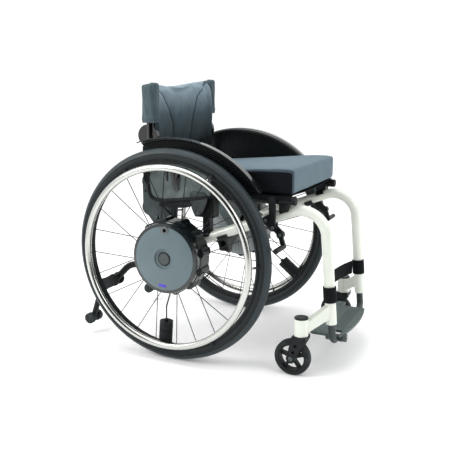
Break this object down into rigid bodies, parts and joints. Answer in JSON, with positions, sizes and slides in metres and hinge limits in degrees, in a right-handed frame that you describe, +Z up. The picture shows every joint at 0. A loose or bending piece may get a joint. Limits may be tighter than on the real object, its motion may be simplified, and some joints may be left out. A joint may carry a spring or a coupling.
{
  "type": "folding wheelchair with power-assist wheels",
  "caption": "Folding active wheelchair with motorised hub wheels, push-rim sensors, cross brace, casters, wheel brakes, tip guards and a flip-up footplate.",
  "frame": {"origin": "on the floor under the centre of the bounding box", "axes": "+X forward, towards the footplate; +Y to the sitter's left; +Z up"},
  "size_m": [0.833, 0.607, 0.789],
  "materials": {
    "tyre_black": "smooth matt rubber with a fine groove on each side",
    "rim_black": "black satin anodised metal",
    "push_rim_steel": "polished bright steel",
    "hub_black": "black satin with a grey inner face",
    "hub_grey": "blue-grey satin moulding",
    "button_dark": "dark satin cap, left bare",
    "socket_chrome": "polished collar",
    "light_violet": "lit violet window",
    "sensor_black": "black satin moulding",
    "pack_dark": "dark moulded case",
    "axle_steel": "machined steel with a laminated stator",
    "frame_white": "white gloss paint on aluminium tube",
    "bracket_grey": "dark grey satin paint",
    "post_black": "black gloss paint",
    "guard_carbon": "carbon-fibre weave under clear gloss",
    "clamp_black": "black satin paint",
    "lever_slate": "slate rubberised grip",
    "fork_black": "black satin paint",
    "caster_hub_black": "black moulded wheel",
    "caster_rubber": "dark grey solid rubber",
    "hanger_grey": "dark grey satin paint",
    "tip_black": "black satin paint with bright bolt heads",
    "roller_rubber": "hard black rubber",
    "brace_black": "black satin paint",
    "sling_fabric": "woven nylon",
    "cushion_fabric": "dark slate knitted cover",
    "back_fabric": "slate padded cloth with sewn seams",
    "strap_fabric": "black webbing",
    "plate_grey": "ribbed grey moulding"
  },
  "bodies": {
    "right_side": {"right_side_frame": "frame_white", "right_axle_bracket": "bracket_grey", "right_back_post": "post_black", "right_side_guard": "guard_carbon", "right_frame_clamps": "clamp_black", "right_hanger": "hanger_grey", "right_anti_tip_arm": "tip_black", "right_motor_axle": "axle_steel", "back_upholstery": "back_fabric", "calf_strap": "strap_fabric"},
    "right_wheel": {"right_tyre": "tyre_black", "right_rim": "rim_black", "right_spokes": "rim_black", "right_hub_shell": "hub_black", "right_hub_cover": "hub_grey", "right_charge_socket": "socket_chrome", "right_status_light": "light_violet", "right_rim_sensor": "sensor_black", "right_battery_pack": "pack_dark"},
    "right_handrim": {"right_handrim": "push_rim_steel"},
    "right_release_button": {"right_release_button": "button_dark"},
    "right_brake_lever": {"right_brake_lever": "lever_slate"},
    "right_brake_shoe": {"right_brake_shoe": "clamp_black"},
    "right_caster_fork": {"right_caster_fork": "fork_black"},
    "right_anti_tip_leg": {"right_anti_tip_leg": "tip_black"},
    "right_anti_tip_rollers": {"right_anti_tip_rollers": "roller_rubber"},
    "right_caster": {"right_caster_wheel": "caster_hub_black", "right_caster_tyre": "caster_rubber"},
    "left_side": {"left_side_frame": "frame_white", "left_axle_bracket": "bracket_grey", "left_back_post": "post_black", "left_side_guard": "guard_carbon", "left_frame_clamps": "clamp_black", "left_hanger": "hanger_grey", "left_anti_tip_arm": "tip_black", "left_motor_axle": "axle_steel"},
    "left_wheel": {"left_tyre": "tyre_black", "left_rim": "rim_black", "left_spokes": "rim_black", "left_hub_shell": "hub_black", "left_hub_cover": "hub_grey", "left_charge_socket": "socket_chrome", "left_status_light": "light_violet", "left_rim_sensor": "sensor_black", "left_battery_pack": "pack_dark"},
    "left_handrim": {"left_handrim": "push_rim_steel"},
    "left_release_button": {"left_release_button": "button_dark"},
    "left_brake_lever": {"left_brake_lever": "lever_slate"},
    "left_brake_shoe": {"left_brake_shoe": "clamp_black"},
    "left_caster_fork": {"left_caster_fork": "fork_black"},
    "left_anti_tip_leg": {"left_anti_tip_leg": "tip_black"},
    "left_anti_tip_rollers": {"left_anti_tip_rollers": "roller_rubber"},
    "left_caster": {"left_caster_wheel": "caster_hub_black", "left_caster_tyre": "caster_rubber"},
    "cross_bar_a": {"cross_bar_a": "brace_black"},
    "cross_bar_b": {"cross_bar_b": "brace_black"},
    "seat": {"seat_sling": "sling_fabric", "cushion": "cushion_fabric"},
    "footplate": {"footplate": "plate_grey"}
  },
  "joints": [
    {"name": "fold", "type": "hinge", "parent": "right_side", "child": "cross_bar_a", "pos_m": [0.0615, -0.165, 0.325], "axis": [1, 0, 0], "range_deg": [0, 47], "deforming": ["cushion", "seat_sling", "back_upholstery", "calf_strap"]},
    {"name": "cross", "type": "hinge", "parent": "cross_bar_a", "child": "cross_bar_b", "pos_m": [0.0695, 0, 0.39558], "axis": [1, 0, 0], "range_deg": [-94, 0]},
    {"name": "left_fold", "type": "hinge", "parent": "cross_bar_b", "child": "left_side", "pos_m": [0.0775, 0.165, 0.325], "axis": [1, 0, 0], "range_deg": [0, 47]},
    {"name": "seat_rise", "type": "slide", "parent": "right_side", "child": "seat", "axis": [0, 0, 1], "range_m": [0, 0.2104]},
    {"name": "footplate_flip", "type": "hinge", "parent": "right_side", "child": "footplate", "pos_m": [0.382, -0.12, 0.0867], "axis": [1, 0, 0], "range_deg": [0, 90]},
    {"name": "right_wheel_spin", "type": "hinge", "parent": "right_side", "child": "right_wheel", "pos_m": [-0.0685, -0.255, 0.305], "axis": [0, 1, 0], "continuous": true},
    {"name": "right_handrim_twist", "type": "hinge", "parent": "right_wheel", "child": "right_handrim", "pos_m": [-0.0685, -0.255, 0.305], "axis": [0, 1, 0], "range_deg": [-3, 3], "stiffness_Nm_per_rad": 60},
    {"name": "right_release_press", "type": "slide", "parent": "right_side", "child": "right_release_button", "axis": [0, 1, 0], "range_m": [0, 0.003], "stiffness_N_per_m": 2000},
    {"name": "right_caster_swivel", "type": "hinge", "parent": "right_side", "child": "right_caster_fork", "pos_m": [0.3105, -0.219, 0.14], "axis": [0, 0, 1], "continuous": true},
    {"name": "right_caster_roll", "type": "hinge", "parent": "right_caster_fork", "child": "right_caster", "pos_m": [0.2885, -0.219, 0.051], "axis": [0, 1, 0], "continuous": true},
    {"name": "right_brake_lever_swing", "type": "hinge", "parent": "right_side", "child": "right_brake_lever", "pos_m": [0.2225, -0.211, 0.404], "axis": [0, 1, 0], "range_deg": [0, 50]},
    {"name": "right_brake_shoe_swing", "type": "hinge", "parent": "right_side", "child": "right_brake_shoe", "pos_m": [0.2435, -0.211, 0.386], "axis": [0, 1, 0], "range_deg": [0, 22]},
    {"name": "right_anti_tip_swing", "type": "hinge", "parent": "right_side", "child": "right_anti_tip_leg", "pos_m": [-0.3625, -0.1787, 0.161], "axis": [0, 1, 0], "range_deg": [0, 95]},
    {"name": "right_roller_spin", "type": "hinge", "parent": "right_anti_tip_leg", "child": "right_anti_tip_rollers", "pos_m": [-0.3995, -0.1787, 0.052], "axis": [0, 1, 0], "continuous": true},
    {"name": "left_wheel_spin", "type": "hinge", "parent": "left_side", "child": "left_wheel", "pos_m": [-0.0685, 0.255, 0.305], "axis": [0, 1, 0], "continuous": true},
    {"name": "left_handrim_twist", "type": "hinge", "parent": "left_wheel", "child": "left_handrim", "pos_m": [-0.0685, 0.255, 0.305], "axis": [0, 1, 0], "range_deg": [-3, 3], "stiffness_Nm_per_rad": 60},
    {"name": "left_release_press", "type": "slide", "parent": "left_side", "child": "left_release_button", "axis": [0, -1, 0], "range_m": [0, 0.003], "stiffness_N_per_m": 2000},
    {"name": "left_caster_swivel", "type": "hinge", "parent": "left_side", "child": "left_caster_fork", "pos_m": [0.3105, 0.219, 0.14], "axis": [0, 0, 1], "continuous": true},
    {"name": "left_caster_roll", "type": "hinge", "parent": "left_caster_fork", "child": "left_caster", "pos_m": [0.2885, 0.219, 0.051], "axis": [0, 1, 0], "continuous": true},
    {"name": "left_brake_lever_swing", "type": "hinge", "parent": "left_side", "child": "left_brake_lever", "pos_m": [0.2225, 0.211, 0.404], "axis": [0, 1, 0], "range_deg": [0, 50]},
    {"name": "left_brake_shoe_swing", "type": "hinge", "parent": "left_side", "child": "left_brake_shoe", "pos_m": [0.2435, 0.211, 0.386], "axis": [0, 1, 0], "range_deg": [0, 22]},
    {"name": "left_anti_tip_swing", "type": "hinge", "parent": "left_side", "child": "left_anti_tip_leg", "pos_m": [-0.3625, 0.1787, 0.161], "axis": [0, 1, 0], "range_deg": [0, 95]},
    {"name": "left_roller_spin", "type": "hinge", "parent": "left_anti_tip_leg", "child": "left_anti_tip_rollers", "pos_m": [-0.3995, 0.1787, 0.052], "axis": [0, 1, 0], "continuous": true}
  ],
  "couplings": [
    {"joint": "cross", "follows": "fold", "ratio": -2},
    {"joint": "left_fold", "follows": "fold", "ratio": 1},
    {"joint": "seat_rise", "follows": "fold", "m_per_rad": 0.25618},
    {"joint": "footplate_flip", "follows": "fold", "ratio": 1.9144},
    {"joint": "right_brake_shoe_swing", "follows": "right_brake_lever_swing", "ratio": 0.44},
    {"joint": "left_brake_shoe_swing", "follows": "left_brake_lever_swing", "ratio": 0.44}
  ]
}
